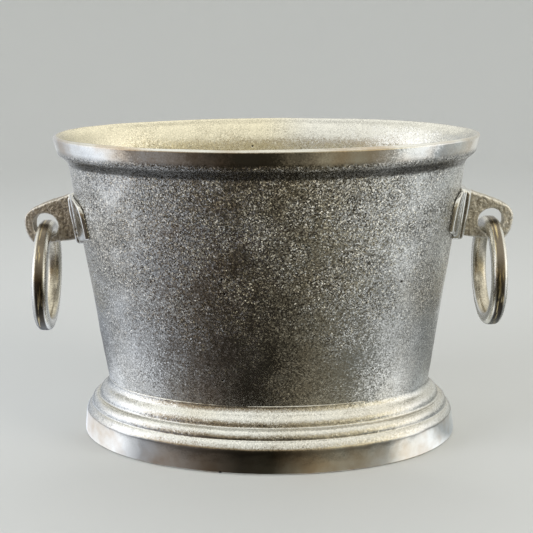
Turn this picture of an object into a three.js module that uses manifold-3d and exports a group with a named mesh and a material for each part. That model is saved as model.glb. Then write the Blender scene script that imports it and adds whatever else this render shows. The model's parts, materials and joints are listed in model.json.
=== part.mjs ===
// Oval cast champagne bucket with a moulded foot and two hanging ring handles.
// Millimetres, +Z up. Origin at the centre of the foot's underside, X along the long axis of the oval,
// the front face towards -Y.
//
// Every oval section is an ellipse with semi-axes a (along X) and a - CORE (along Y), so two sections
// that differ by d in a are d apart all round, and walls keep an even thickness.
import * as THREE from "three";
import Module from "manifold-3d";

const wasm = await Module();
wasm.setup();

const CORE = 71.5;
const OVAL_SEGMENTS = 72;
const RING_SEGMENTS = 48;
const CLEARANCE = 0.3;

// Wall: outer semi-axis at the top of the plain wall and its draft.
const WALL_TOP_Z = 240;
const WALL_TOP_A = 165.2;
const WALL_DRAFT = 0.1201;
const WALL_THICKNESS = 4.3;

// Floor of the body.
const FLOOR_UNDERSIDE_Z = 26;
const FLOOR_TOP_Z = 34;

// Foot.
const FOOT_TOP_Z = 49;
const SEAT_INNER_A = 117.5;
const SEAT_UNDERSIDE_Z = 20.5;

// Ring handles and their brackets.
const RING_RADIAL = 11;
const RING_AXIAL = 12.8;
const HOLE_X = 189;
const HOLE_R = 10.8;
const LUG_HALF = 6;
// Hand-fitted, so the two sides differ a little. A ring turns loosely in its hole: yaw is about the
// vertical, tilt is about the hole, outwards. Drop is how far the bar's centre hangs below the hole's,
// and ringOut is how far outwards it has slid. bossOut moves the boss outwards, padHalf is half the pad.
const LEFT = {
  sign: -1, name: "left", holeZ: 186.9, bossOut: 0, padHalf: 37,
  ringR: 48.4, ringDrop: 2.7, ringOut: 0.8, ringYaw: 0.12, ringTilt: 0.06,
};
const RIGHT = {
  sign: 1, name: "right", holeZ: 190.7, bossOut: 3.5, padHalf: 28,
  ringR: 46.6, ringDrop: 3.1, ringOut: 0.8, ringYaw: 0.02, ringTilt: 0.02,
};

// Screws.
const SCREW_R = 2.5;
const SCREW_HEAD_R = 4.6;
const SCREW_HEAD_H = 3;
const WASHER_R = 6.5;
const WASHER_H = 1.2;
const BRACKET_SCREW_DZ = { upper: 9, lower: -9 };
const BRACKET_SCREW_REACH = 8.5;
const FOOT_SCREW_ANGLES = [40, 140, 220, 320];
const FOOT_SCREW_REACH = 5;

const wallA = (z) => WALL_TOP_A + (z - WALL_TOP_Z) * WALL_DRAFT;

// Indexed geometry from point and triangle lists.
function solidFrom(points, faces) {
  const geometry = new THREE.BufferGeometry();
  geometry.setAttribute("position", new THREE.Float32BufferAttribute(points.flat(), 3));
  geometry.setIndex(faces.flat());
  return geometry;
}

// Solid of stacked oval sections. Each profile entry is [a, z]. The sections run up the outside and down
// the inside, or round a closed loop when `closed` is true.
function ovalSolid(profile, closed) {
  const points = [];
  for (const [a, z] of profile) {
    for (let i = 0; i < OVAL_SEGMENTS; i++) {
      const t = (2 * Math.PI * i) / OVAL_SEGMENTS;
      points.push([a * Math.cos(t), (a - CORE) * Math.sin(t), z]);
    }
  }
  const at = (row, i) => row * OVAL_SEGMENTS + (i % OVAL_SEGMENTS);
  const faces = [];
  const bands = closed ? profile.length : profile.length - 1;
  for (let row = 0; row < bands; row++) {
    const next = (row + 1) % profile.length;
    for (let i = 0; i < OVAL_SEGMENTS; i++) {
      faces.push([at(row, i), at(row, i + 1), at(next, i + 1)]);
      faces.push([at(row, i), at(next, i + 1), at(next, i)]);
    }
  }
  if (!closed) {
    const last = profile.length - 1;
    const first = points.push([0, 0, profile[0][1]]) - 1;
    const top = points.push([0, 0, profile[last][1]]) - 1;
    for (let i = 0; i < OVAL_SEGMENTS; i++) {
      faces.push([first, at(0, i + 1), at(0, i)]);
      faces.push([top, at(last, i), at(last, i + 1)]);
    }
  }
  return solidFrom(points, faces);
}

function toManifold(geometry) {
  const position = geometry.getAttribute("position");
  const index = geometry.getIndex();
  const seen = new Map();
  const vertices = [];
  const merged = [];
  for (let i = 0; i < position.count; i++) {
    const point = [position.getX(i), position.getY(i), position.getZ(i)];
    const key = point.map((v) => Math.round(v * 1e4)).join(",");
    if (!seen.has(key)) {
      seen.set(key, vertices.length / 3);
      vertices.push(...point);
    }
    merged.push(seen.get(key));
  }
  const count = index ? index.count : position.count;
  const triangles = [];
  for (let i = 0; i < count; i += 3) {
    const corner = [0, 1, 2].map((k) => merged[index ? index.getX(i + k) : i + k]);
    if (new Set(corner).size === 3) {
      triangles.push(...corner);
    }
  }
  return new wasm.Manifold({
    numProp: 3,
    vertProperties: new Float32Array(vertices),
    triVerts: new Uint32Array(triangles),
  });
}

function fromManifold(solid) {
  const mesh = solid.getMesh();
  const geometry = new THREE.BufferGeometry();
  geometry.setAttribute("position", new THREE.BufferAttribute(mesh.vertProperties, 3));
  geometry.setIndex(new THREE.BufferAttribute(mesh.triVerts, 1));
  return geometry;
}

// Round bar between two points, as a manifold.
function bar(from, to, radius, segments = 24) {
  const start = new THREE.Vector3(...from);
  const end = new THREE.Vector3(...to);
  const along = end.clone().sub(start);
  const geometry = new THREE.CylinderGeometry(radius, radius, along.length(), segments);
  const turn = new THREE.Quaternion().setFromUnitVectors(
    new THREE.Vector3(0, 1, 0), along.clone().normalize());
  geometry.applyQuaternion(turn);
  const middle = start.clone().add(end).multiplyScalar(0.5);
  geometry.translate(middle.x, middle.y, middle.z);
  return toManifold(geometry);
}

// Turned solid about the line through `base` along `direction`. Profile entries are [radius, height]
// and run from the axis at the base to the axis at the tip.
function turned(profile, base, direction, segments = 14) {
  const geometry = new THREE.LatheGeometry(
    profile.map(([r, h]) => new THREE.Vector2(r, h)), segments);
  const turn = new THREE.Quaternion().setFromUnitVectors(
    new THREE.Vector3(0, 1, 0), new THREE.Vector3(...direction).normalize());
  geometry.applyQuaternion(turn);
  geometry.translate(...base);
  return toManifold(geometry);
}

// Plate with the XZ outline given, from y = -half to +half, its edges eased by `ease`.
function plate(outline, half, ease) {
  const shape = new THREE.Shape(outline.map(([x, z]) => new THREE.Vector2(x, z)));
  const geometry = new THREE.ExtrudeGeometry(shape, {
    depth: 2 * (half - ease),
    bevelEnabled: true,
    bevelThickness: ease,
    bevelSize: ease,
    bevelOffset: -ease,
    bevelSegments: 2,
    steps: 1,
  });
  geometry.rotateX(Math.PI / 2);
  geometry.translate(0, half - ease, 0);
  return toManifold(geometry);
}

// ---- bucket body -----------------------------------------------------------------------------------

const innerA = (z) => wallA(z) - WALL_THICKNESS;

const bodyProfile = [
  [128, FLOOR_UNDERSIDE_Z],
  [136.6, FLOOR_UNDERSIDE_Z + 0.9],
  [wallA(31), 31],
  [wallA(WALL_TOP_Z), WALL_TOP_Z],
  [165.9, 242.2],
  [167.6, 245],
  [170.4, 247.8],
  [172.8, 249.8],
  [173.9, 251.6],
  [175.4, 258.5],
  [176.1, 262],
  [176.2, 263.8],
  [175.4, 265],
  [174, 265.4],
  [172.2, 264.9],
  [169.6, 263],
  [167.2, 260],
  [164.9, 255],
  [innerA(246), 246],
  [innerA(50), 50],
  [134.6, 42],
  [131, 36.6],
  [124, 34.5],
  [114, FLOOR_TOP_Z],
];

// ---- foot ------------------------------------------------------------------------------------------

const footProfile = [
  [SEAT_INNER_A, SEAT_UNDERSIDE_Z],
  [140, SEAT_UNDERSIDE_Z],
  [147, 18.6],
  [152.5, 13.5],
  [155.5, 7],
  [156.5, 0],
  [165, 0],
  [165.9, 1.2],
  [166, 4],
  [165, 12],
  [163.8, 20],
  [163.3, 21.6],
  [162.5, 23.2],
  [161.1, 25.1],
  [159.7, 26.4],
  [158.8, 26.9],
  [158.6, 28.4],
  [157.9, 30.4],
  [156.6, 32.4],
  [154.8, 33.9],
  [153.4, 34.2],
  [152.2, 34],
  [151.2, 34.8],
  [150.7, 37],
  [149.2, 40],
  [146.5, 42.6],
  [144.4, 44.2],
  [143.2, 46.6],
  [wallA(FOOT_TOP_Z) + CLEARANCE, FOOT_TOP_Z],
  [wallA(31) + CLEARANCE, 31],
  [136.7, FLOOR_UNDERSIDE_Z + 0.9 - CLEARANCE],
  [128, FLOOR_UNDERSIDE_Z - CLEARANCE],
  [SEAT_INNER_A, FLOOR_UNDERSIDE_Z - CLEARANCE],
];

// ---- brackets --------------------------------------------------------------------------------------

// Grown wall that the back of a bracket is cut to.
const wallCutter = toManifold(ovalSolid([
  [wallA(120) + CLEARANCE, 120],
  [wallA(WALL_TOP_Z) + CLEARANCE, WALL_TOP_Z],
], false));

// Space inside the wall, less a clearance, that the sealing washers are shaped to.
const insideCutter = toManifold(ovalSolid([
  [innerA(120) - CLEARANCE, 120],
  [innerA(WALL_TOP_Z) - CLEARANCE, WALL_TOP_Z],
], false));

// Lug outline about the ring hole, with x growing away from the bucket.
const LUG_OUTLINE = [
  [-34, -11.4],
  [-22, -12.8],
  [-12, -14.1],
  [0, -15.6],
  [9, -16],
  [13, -14],
  [15.6, -10],
  [17.3, -6],
  [18.4, -0.5],
  [18.3, 5],
  [16.8, 9.3],
  [13.8, 12.6],
  [10, 15],
  [1, 19],
  [-5, 21.2],
  [-11.4, 23.1],
  [-24, 27.9],
  [-34, 31.5],
];

// Moulded block between lug and pad, and how far it reaches to each side of the lug.
const BOSS_OUTLINE = [
  [-42, -14.4],
  [-28.8, -14.4],
  [-27.4, -12.8],
  [-26.4, -9],
  [-24.2, 5],
  [-22.8, 15],
  [-22.3, 24.5],
  [-23.2, 26.2],
  [-27, 28.2],
  [-42, 32],
];
const BOSS_HALF = 14;

// Saddle pad that wraps round the wall. Its outline is seen from the end, as shares of its half width
// against the height about the ring hole.
const PAD_OUTLINE = [
  [1, -10.6],
  [1, 10],
  [0.93, 17],
  [0.76, 22.8],
  [0.5, 26.4],
  [0.2, 27.4],
];
const PAD_THICKNESS = 3.4;
const padLimit = toManifold(ovalSolid([
  [wallA(130) + PAD_THICKNESS, 130],
  [wallA(WALL_TOP_Z) + PAD_THICKNESS, WALL_TOP_Z],
], false));

// Direction square to the tapered wall at the end of the oval.
const wallNormal = (sign) => new THREE.Vector3(sign, 0, -WALL_DRAFT).normalize();

// Point on the outer wall at the end of the oval, moved out by `out`.
function wallPoint(sign, z, out) {
  const point = new THREE.Vector3(sign * wallA(z), 0, z).addScaledVector(wallNormal(sign), out);
  return point.toArray();
}

function place(outline, side) {
  const moved = outline.map(([x, z]) => [side.sign * (HOLE_X + x), side.holeZ + z]);
  return side.sign > 0 ? moved : moved.reverse();
}

// Block with the pad's outline, reaching through the wall along X.
function padBlock(side) {
  const right = PAD_OUTLINE.map(([share, z]) => [share * side.padHalf, z]);
  const left = right.map(([y, z]) => [-y, z]).reverse();
  const block = plate([...right, ...left], 45, 1.5);
  return block.rotate([0, 0, 90]).translate([side.sign * 150, 0, side.holeZ]);
}

function bracket(side) {
  const lug = plate(place(LUG_OUTLINE, side), LUG_HALF, 1);
  const bossOutline = BOSS_OUTLINE.map(([x, z]) => [x + side.bossOut, z]);
  const boss = plate(place(bossOutline, side), BOSS_HALF, 1.6);
  const pad = padBlock(side).intersect(padLimit);
  let solid = lug.add(boss).add(pad).subtract(wallCutter);
  const holeAt = (y) => [side.sign * HOLE_X, y, side.holeZ];
  solid = solid.subtract(bar(holeAt(-20), holeAt(20), HOLE_R, 32));
  for (const dz of Object.values(BRACKET_SCREW_DZ)) {
    const z = side.holeZ + dz;
    const drill = bar(wallPoint(side.sign, z, -2), wallPoint(side.sign, z, BRACKET_SCREW_REACH + 1),
      SCREW_R + CLEARANCE, 16);
    solid = solid.subtract(drill);
  }
  return solid;
}

// ---- rings -----------------------------------------------------------------------------------------

// Ring of rounded-octagon bar, hung in its hole.
function ring(side) {
  const r = RING_RADIAL / 2;
  const w = RING_AXIAL / 2;
  const section = [
    [-0.52 * w, -r], [0.52 * w, -r], [0.88 * w, -0.72 * r], [w, -0.42 * r],
    [w, 0.3 * r], [0.86 * w, 0.72 * r], [0.5 * w, r],
    [-0.5 * w, r], [-0.86 * w, 0.72 * r], [-w, 0.3 * r],
    [-w, -0.42 * r], [-0.88 * w, -0.72 * r],
  ];
  const n = section.length;
  const meanR = side.ringR - r;
  const points = [];
  const faces = [];
  const at = (i, k) => (i % RING_SEGMENTS) * n + (k % n);
  for (let i = 0; i < RING_SEGMENTS; i++) {
    const t = (2 * Math.PI * i) / RING_SEGMENTS;
    for (const [across, out] of section) {
      points.push([across, (meanR + out) * Math.sin(t), (meanR + out) * Math.cos(t)]);
    }
    for (let k = 0; k < n; k++) {
      faces.push([at(i, k), at(i + 1, k + 1), at(i, k + 1)]);
      faces.push([at(i, k), at(i + 1, k), at(i + 1, k + 1)]);
    }
  }
  const geometry = solidFrom(points, faces);
  geometry.rotateZ(side.ringYaw);
  geometry.translate(0, 0, -side.ringDrop - meanR);
  geometry.rotateY(-side.sign * side.ringTilt);
  geometry.translate(side.sign * (HOLE_X + side.ringOut), 0, side.holeZ);
  return geometry;
}

// ---- assembly --------------------------------------------------------------------------------------

const model = new THREE.Group();

function addNode(name, geometry) {
  const mesh = new THREE.Mesh(geometry);
  mesh.name = name;
  model.add(mesh);
}

let body = toManifold(ovalSolid(bodyProfile, false));
let foot = toManifold(ovalSolid(footProfile, true));

for (const side of [LEFT, RIGHT]) {
  addNode(`${side.name}_ring_bracket`, fromManifold(bracket(side)));
  addNode(`${side.name}_ring`, ring(side));
  for (const [place, dz] of Object.entries(BRACKET_SCREW_DZ)) {
    const z = side.holeZ + dz;
    const inside = WALL_THICKNESS + CLEARANCE;
    body = body.subtract(bar(wallPoint(side.sign, z, -inside - 4), wallPoint(side.sign, z, 2),
      SCREW_R + CLEARANCE, 16));
    const washerBack = wallPoint(side.sign, z, 0);
    const washerFace = wallPoint(side.sign, z, -inside - WASHER_H);
    const washer = bar(washerBack, washerFace, WASHER_R, 20).intersect(insideCutter).subtract(
      bar(washerBack, wallPoint(side.sign, z, -inside - 3), SCREW_R + CLEARANCE, 16));
    addNode(`${side.name}_bracket_${place}_washer`, fromManifold(washer));
    const stem = inside + WASHER_H + CLEARANCE + BRACKET_SCREW_REACH;
    const headBase = wallPoint(side.sign, z, -inside - WASHER_H - CLEARANCE - SCREW_HEAD_H);
    const screw = turned([
      [0, 0],
      [SCREW_HEAD_R * 0.62, 0],
      [SCREW_HEAD_R * 0.94, SCREW_HEAD_H * 0.4],
      [SCREW_HEAD_R, SCREW_HEAD_H * 0.8],
      [SCREW_HEAD_R, SCREW_HEAD_H],
      [SCREW_R, SCREW_HEAD_H],
      [SCREW_R, SCREW_HEAD_H + stem - 0.8],
      [SCREW_R - 0.8, SCREW_HEAD_H + stem],
      [0, SCREW_HEAD_H + stem],
    ], headBase, wallNormal(side.sign).toArray());
    addNode(`${side.name}_bracket_${place}_screw`, fromManifold(screw));
  }
}

FOOT_SCREW_ANGLES.forEach((degrees, i) => {
  const t = THREE.MathUtils.degToRad(degrees);
  const a = (SEAT_INNER_A + 138) / 2;
  const x = a * Math.cos(t);
  const y = (a - CORE) * Math.sin(t);
  const under = SEAT_UNDERSIDE_Z - CLEARANCE;
  const tip = FLOOR_UNDERSIDE_Z + FOOT_SCREW_REACH;
  foot = foot.subtract(bar([x, y, under - 5], [x, y, FLOOR_UNDERSIDE_Z + 3], SCREW_R + CLEARANCE, 16));
  body = body.subtract(bar([x, y, FLOOR_UNDERSIDE_Z - 3], [x, y, tip + 0.6], SCREW_R + CLEARANCE, 16));
  const screw = turned([
    [0, 0],
    [SCREW_HEAD_R * 0.62, 0],
    [SCREW_HEAD_R * 0.94, SCREW_HEAD_H * 0.4],
    [SCREW_HEAD_R, SCREW_HEAD_H * 0.8],
    [SCREW_HEAD_R, SCREW_HEAD_H],
    [SCREW_R, SCREW_HEAD_H],
    [SCREW_R, SCREW_HEAD_H + tip - under - 0.8],
    [SCREW_R - 0.8, SCREW_HEAD_H + tip - under],
    [0, SCREW_HEAD_H + tip - under],
  ], [x, y, under - SCREW_HEAD_H], [0, 0, 1]);
  addNode(`foot_screw_${i + 1}`, fromManifold(screw));
});

addNode("bucket_body", fromManifold(body));
addNode("foot", fromManifold(foot));

export default model;
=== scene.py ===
"""Looks of an oval sand-cast champagne bucket with ring handles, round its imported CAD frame."""

import json
import logging
import math
from dataclasses import dataclass, field
from enum import Enum
from typing import Iterable, Sequence

import bmesh
import bpy
from mathutils import Matrix, Vector, noise


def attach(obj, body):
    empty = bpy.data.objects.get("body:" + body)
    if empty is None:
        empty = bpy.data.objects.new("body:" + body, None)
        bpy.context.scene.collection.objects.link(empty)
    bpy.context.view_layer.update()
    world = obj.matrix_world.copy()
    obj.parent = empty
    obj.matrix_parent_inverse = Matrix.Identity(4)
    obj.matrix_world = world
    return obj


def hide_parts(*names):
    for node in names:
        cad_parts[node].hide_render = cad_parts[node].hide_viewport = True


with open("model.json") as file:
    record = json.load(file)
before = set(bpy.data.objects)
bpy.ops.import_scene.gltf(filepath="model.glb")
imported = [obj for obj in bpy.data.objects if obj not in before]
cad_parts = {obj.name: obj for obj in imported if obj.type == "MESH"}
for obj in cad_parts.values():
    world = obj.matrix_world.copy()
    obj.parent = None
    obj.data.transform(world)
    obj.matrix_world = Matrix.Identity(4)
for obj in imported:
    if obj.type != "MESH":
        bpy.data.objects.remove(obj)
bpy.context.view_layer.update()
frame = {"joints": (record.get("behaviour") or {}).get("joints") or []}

LOG = logging.getLogger("champagne_bucket")
MM = 0.001
Point2 = tuple[float, float]
Wave = tuple[float, float]
Colour = tuple[float, float, float, float]

# Every oval section has semi-axes a and a - CORE, in millimetres, as in the CAD.
CORE = 71.5


def linear(hex_colour: str) -> Colour:
    """Turn an sRGB hex colour into a linear RGBA colour.

    Args:
        hex_colour: Six hex digits, such as "b9b9b6".

    Returns:
        The colour in linear light, with alpha 1.
    """
    channels = [int(hex_colour[i : i + 2], 16) / 255 for i in (0, 2, 4)]
    red, green, blue = (
        c / 12.92 if c <= 0.04045 else ((c + 0.055) / 1.055) ** 2.4 for c in channels
    )
    return (red, green, blue, 1.0)


def per_mm(pitch_mm: float) -> float:
    """Texture scale whose pattern repeats about every pitch_mm on a model in metres."""
    return 1.0 / (pitch_mm * MM)


def add(
    tree: bpy.types.NodeTree, kind: str, inputs: dict | None = None, **settings
) -> bpy.types.Node:
    """Add a node with its settings, and fill or link its inputs.

    Args:
        tree: Node tree that takes the node.
        kind: Blender's identifier of the node type.
        inputs: Input name or index to a plain value, or to the output socket linked to it.
        **settings: Attributes set on the node itself.

    Returns:
        The new node.
    """
    node = tree.nodes.new(kind)
    for name, value in settings.items():
        setattr(node, name, value)
    for key, value in (inputs or {}).items():
        if isinstance(value, bpy.types.NodeSocket):
            tree.links.new(value, node.inputs[key])
        else:
            node.inputs[key].default_value = value
    return node


def blank_material(name: str) -> tuple[bpy.types.Material, bpy.types.NodeTree]:
    """Make an empty node material.

    Args:
        name: Name of the material.

    Returns:
        The material and its empty node tree.
    """
    material = bpy.data.materials.new(name)
    material.use_nodes = True
    material.node_tree.nodes.clear()
    return material, material.node_tree


def close_metal(
    tree: bpy.types.NodeTree,
    colour: bpy.types.NodeSocket,
    roughness: bpy.types.NodeSocket,
    normal: bpy.types.NodeSocket,
) -> None:
    """End a bare metal's tree with its shader and output.

    Args:
        tree: Tree that takes the nodes.
        colour: Colour of the metal.
        roughness: How matt it is.
        normal: Its bumped normal.
    """
    shader = add(
        tree,
        "ShaderNodeBsdfPrincipled",
        {"Base Color": colour, "Metallic": 1.0, "Roughness": roughness, "Normal": normal},
    )
    add(tree, "ShaderNodeOutputMaterial", {"Surface": shader.outputs[0]})


@dataclass
class HandleSide:
    """What differs between the two ends: the joint gives the hole, the rest is fitted.

    The hole is in metres, the other sizes in millimetres and the angles in radians.
    """

    label: str
    sign: int
    hole: Vector
    boss_out: float
    pad_half: float
    ring_r: float
    ring_drop: float
    ring_out: float
    ring_yaw: float
    ring_tilt: float
    seed: float

    @property
    def step_mm(self) -> float:
        """Where the boss's outer face would stand at the ground, if its lean went on down."""
        # The boss that stands out further sits higher too, and its lean takes part of that back.
        flush_face, kept_share = 135.9, 0.85
        return flush_face + self.boss_out * kept_share


# ---- finishes ------------------------------------------------------------------------------------


@dataclass(frozen=True)
class PaintedShadeBand:
    """Level band of a casting's outside, darkened as painted shade.

    Heights in millimetres; share is how much of the metal's own colour the painted shade hides.
    """

    low_mm: float
    high_mm: float
    share: float
    colour: str


@dataclass(frozen=True)
class CastAluminium:
    """Sand-cast aluminium, tumbled and hand-polished.

    The sand leaves a skin of fine grains that polishing only half removes, so the wall glitters in
    small light and dark specks, with painted shade between them. The rim band and the plinth are
    buffed until the grain nearly goes, bands under the rim get painted shade, and the inside a
    painted warm reflection.
    """

    name: str
    colour: str = "e3e3e0"
    stain: str = "d2cbbb"
    # Colour of the painted warm reflection on the inside.
    inside_reflection_tint: str = "e8e0c6"
    # Brown on the buffed edges: handling film and painted warm reflection.
    film_and_warm_reflection: str = "b3946c"
    pit_floor: str = "2c2823"
    grain_mm: float = 1.15  # the sand's own grain is 0.3 to 0.6 mm, drawn coarser so that it shows
    fleck_mm: float = 1.0
    cloud_mm: float = 24.0
    tarnish_mm: float = 75.0
    film_mm: float = 34.0
    grain_depth_mm: float = 0.4
    facet_lean: float = 0.42
    grain_share: float = 1.0
    inside_share: float = 0.34
    # Bands of painted shade under and on the rim.
    painted_shade: tuple[PaintedShadeBand, ...] = ()
    wall_roughness: float = 0.21
    buffed_roughness: float = 0.08
    buffed_from_mm: float | None = None
    buffed_below_mm: float | None = None
    smooth_below_mm: float = 60.0
    pit_mm: float = 38.0
    # Where the inside's painted warm reflection fades, left to right.
    reflection_fades_mm: tuple[float, float] = (-10.0, 45.0)

    def build(self) -> bpy.types.Material:
        """Build the material.

        Returns:
            The finished material.
        """
        material, tree = blank_material(self.name)
        spot = add(tree, "ShaderNodeTexCoord").outputs["Object"]
        height = add(tree, "ShaderNodeSeparateXYZ", {0: spot}).outputs["Z"]
        outside = self.outside(tree, spot)
        buffed = self.buffed(tree, height, outside)

        grains = add(
            tree,
            "ShaderNodeTexNoise",
            {"Vector": spot, "Scale": per_mm(self.grain_mm), "Detail": 2.5, "Roughness": 0.7},
        ).outputs["Fac"]
        facets = add(
            tree, "ShaderNodeTexVoronoi", {"Vector": spot, "Scale": per_mm(self.fleck_mm)}
        ).outputs["Color"]
        flecks = add(tree, "ShaderNodeSeparateColor", {0: facets}).outputs[0]
        patches = add(
            tree,
            "ShaderNodeTexNoise",
            {"Vector": spot, "Scale": per_mm(self.cloud_mm), "Detail": 5.0, "Roughness": 0.6},
        ).outputs["Fac"]
        sweeps = add(
            tree,
            "ShaderNodeTexNoise",
            {"Vector": spot, "Scale": per_mm(self.tarnish_mm), "Detail": 2.0, "Roughness": 0.5},
        ).outputs["Fac"]

        # How strong the grain is: cloudy, fainter low on the wall, nearly gone where buffed.
        cloudy = add(
            tree,
            "ShaderNodeMapRange",
            {"Value": patches, "From Min": 0.35, "From Max": 0.62, "To Min": 0.55, "To Max": 1.15},
        ).outputs["Result"]
        climb = add(
            tree,
            "ShaderNodeMapRange",
            {
                "Value": height,
                "From Min": self.smooth_below_mm * MM,
                "From Max": (self.smooth_below_mm + 120) * MM,
                "To Min": 0.55,
                "To Max": 1.0,
            },
            interpolation_type="SMOOTHSTEP",
        ).outputs["Result"]
        unbuffed = add(
            tree, "ShaderNodeMapRange", {"Value": buffed, "To Min": 1.0, "To Max": 0.12}
        ).outputs["Result"]
        grainy = add(tree, "ShaderNodeMath", {0: cloudy, 1: climb}, operation="MULTIPLY").outputs[0]
        by_side = add(
            tree,
            "ShaderNodeMapRange",
            {"Value": outside, "To Min": self.inside_share, "To Max": self.grain_share},
        ).outputs["Result"]
        kept = add(
            tree, "ShaderNodeMath", {0: unbuffed, 1: by_side}, operation="MULTIPLY"
        ).outputs[0]
        grain = add(tree, "ShaderNodeMath", {0: grainy, 1: kept}, operation="MULTIPLY").outputs[0]

        pits = self.pits(tree, spot)
        metal = self.metal(tree, spot, sweeps, outside, buffed)

        # Each facet has its own brightness, and painted shade sits between the grains.
        salt = add(
            tree, "ShaderNodeMapRange", {"Value": flecks, "To Min": 0.5, "To Max": 1.12}
        ).outputs["Result"]
        painted_grain_shade = add(
            tree,
            "ShaderNodeMapRange",
            {"Value": grains, "From Min": 0.38, "From Max": 0.56, "To Min": 0.2, "To Max": 1.0},
        ).outputs["Result"]
        speckle = add(tree, "ShaderNodeMath", {0: salt, 1: painted_grain_shade}, operation="MULTIPLY").outputs[0]
        speckle_kept = add(
            tree, "ShaderNodeMix", {0: grain, 2: 1.0, 3: speckle}, data_type="FLOAT"
        ).outputs[0]
        shaded = add(
            tree,
            "ShaderNodeMix",
            {0: 1.0, 6: metal, 7: speckle_kept},
            data_type="RGBA",
            blend_type="MULTIPLY",
        ).outputs[2]
        pitted = add(
            tree, "ShaderNodeMix", {0: pits, 6: shaded, 7: linear(self.pit_floor)}, data_type="RGBA"
        ).outputs[2]

        # Roughness: wall against buffed, broken up by the patches.
        base = add(
            tree,
            "ShaderNodeMix",
            {0: buffed, 2: self.wall_roughness, 3: self.buffed_roughness},
            data_type="FLOAT",
        ).outputs[0]
        uneven = add(
            tree,
            "ShaderNodeMapRange",
            {"Value": patches, "From Min": 0.3, "From Max": 0.7, "To Min": -0.04, "To Max": 0.08},
        ).outputs["Result"]
        roughness = add(
            tree, "ShaderNodeMath", {0: base, 1: uneven}, operation="ADD", use_clamp=True
        ).outputs[0]

        # Bump: the tilted facets and the grain, then the pits, then the slow waves of the casting.
        grain_bump = add(
            tree,
            "ShaderNodeBump",
            {
                "Strength": grain,
                "Distance": self.grain_depth_mm * MM,
                "Height": grains,
                "Normal": self.tilted(tree, facets, grain),
            },
        ).outputs["Normal"]
        pit_bump = add(
            tree,
            "ShaderNodeBump",
            {"Strength": 0.8, "Distance": 0.4 * MM, "Height": pits, "Normal": grain_bump},
            invert=True,
        ).outputs["Normal"]
        wave_bump = add(
            tree,
            "ShaderNodeBump",
            {"Strength": 0.35, "Distance": 0.6 * MM, "Height": patches, "Normal": pit_bump},
        ).outputs["Normal"]

        close_metal(tree, pitted, roughness, wave_bump)
        return material

    def tilted(
        self,
        tree: bpy.types.NodeTree,
        facets: bpy.types.NodeSocket,
        grain: bpy.types.NodeSocket,
    ) -> bpy.types.NodeSocket:
        """Lean every facet its own way, most a little and a few a lot, so that they sparkle.

        Args:
            tree: Tree that takes the nodes.
            facets: Random colour of each facet.
            grain: How strong the grain is.

        Returns:
            The leaning normal.
        """
        way = add(
            tree,
            "ShaderNodeVectorMath",
            {0: facets, 1: (2.0, 2.0, 2.0), 2: (-1.0, -1.0, -1.0)},
            operation="MULTIPLY_ADD",
        ).outputs[0]
        size = add(tree, "ShaderNodeVectorMath", {0: way}, operation="ABSOLUTE").outputs[0]
        few = add(tree, "ShaderNodeVectorMath", {0: way, 1: size}, operation="MULTIPLY").outputs[0]
        much = add(
            tree, "ShaderNodeMath", {0: grain, 1: self.facet_lean}, operation="MULTIPLY"
        ).outputs[0]
        lean = add(
            tree, "ShaderNodeVectorMath", {0: few, "Scale": much}, operation="SCALE"
        ).outputs[0]
        normal = add(tree, "ShaderNodeNewGeometry").outputs["Normal"]
        leaning = add(
            tree, "ShaderNodeVectorMath", {0: normal, 1: lean}, operation="ADD"
        ).outputs[0]
        return add(
            tree, "ShaderNodeVectorMath", {0: leaning}, operation="NORMALIZE"
        ).outputs[0]

    def outside(self, tree: bpy.types.NodeTree, spot: bpy.types.NodeSocket) -> bpy.types.NodeSocket:
        """Tell the faces that look away from the bucket's middle from those that look inwards.

        Args:
            tree: Tree that takes the nodes.
            spot: Position on the piece.

        Returns:
            Value that is 0 inside the rim's crest and 1 outside it.
        """
        spread = add(
            tree, "ShaderNodeVectorMath", {0: spot, 1: (1.0, 2.6, 0.0)}, operation="MULTIPLY"
        ).outputs[0]
        away = add(
            tree, "ShaderNodeVectorMath", {0: spread}, operation="NORMALIZE"
        ).outputs[0]
        normal = add(tree, "ShaderNodeNewGeometry").outputs["Normal"]
        facing = add(
            tree, "ShaderNodeVectorMath", {0: normal, 1: away}, operation="DOT_PRODUCT"
        ).outputs["Value"]
        return add(
            tree,
            "ShaderNodeMapRange",
            {"Value": facing, "From Min": -0.35, "From Max": 0.15},
            interpolation_type="SMOOTHSTEP",
        ).outputs["Result"]

    def buffed(
        self,
        tree: bpy.types.NodeTree,
        height: bpy.types.NodeSocket,
        outside: bpy.types.NodeSocket,
    ) -> bpy.types.NodeSocket:
        """Work out how far the buffing wheel has taken the grain off.

        Args:
            tree: Tree that takes the nodes.
            height: Height on the piece.
            outside: Value that is 1 outside the rim's crest.

        Returns:
            Value from 0, as cast, to 1, buffed.
        """
        zones = []
        if self.buffed_from_mm is not None:
            low, high = self.buffed_from_mm * MM, (self.buffed_from_mm + 4) * MM
            upper = add(
                tree,
                "ShaderNodeMapRange",
                {"Value": height, "From Min": low, "From Max": high},
                interpolation_type="SMOOTHSTEP",
            ).outputs["Result"]
            zones.append(
                add(tree, "ShaderNodeMath", {0: upper, 1: outside}, operation="MULTIPLY").outputs[0]
            )
        if self.buffed_below_mm is not None:
            low, high = (self.buffed_below_mm - 2) * MM, (self.buffed_below_mm + 1) * MM
            zones.append(
                add(
                    tree,
                    "ShaderNodeMapRange",
                    {
                        "Value": height,
                        "From Min": low,
                        "From Max": high,
                        "To Min": 1.0,
                        "To Max": 0.0,
                    },
                    interpolation_type="SMOOTHSTEP",
                ).outputs["Result"]
            )
        buffed = zones[0]
        for zone in zones[1:]:
            buffed = add(
                tree, "ShaderNodeMath", {0: buffed, 1: zone}, operation="MAXIMUM"
            ).outputs[0]
        return buffed

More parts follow.
